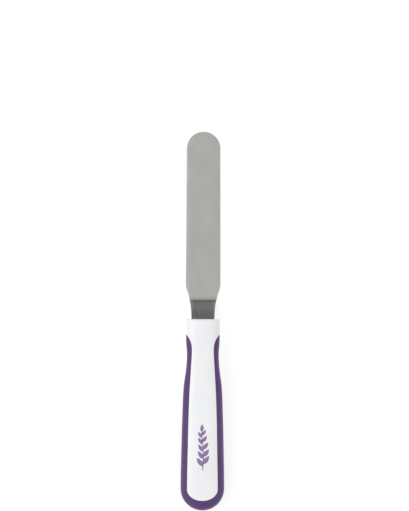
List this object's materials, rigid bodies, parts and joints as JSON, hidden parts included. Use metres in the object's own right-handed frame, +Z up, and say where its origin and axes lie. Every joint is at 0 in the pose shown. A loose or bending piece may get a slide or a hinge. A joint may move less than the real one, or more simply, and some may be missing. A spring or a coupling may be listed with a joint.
{
  "type": "offset spatula",
  "caption": "Offset icing spatula: flexible round-tipped steel blade stepped down from a white handle with soft side grips.",
  "frame": {"origin": "centre of the object's footprint on the surface it lies on, close under the handle mouth", "axes": "+Y along the object towards the blade tip, +Z up out of the surface, +X to the right seen from above"},
  "size_m": [0.0264, 0.2286, 0.0189],
  "materials": {
    "blade_steel": "fine lengthwise satin polish",
    "white_plastic": "smooth semi-gloss moulding",
    "purple_grip": "satin soft-touch overmould"
  },
  "bodies": {
    "root": {"blade": "blade_steel", "handle_top_shell": "white_plastic", "handle_bottom_shell": "white_plastic", "grip_band": "purple_grip"}
  },
  "joints": []
}
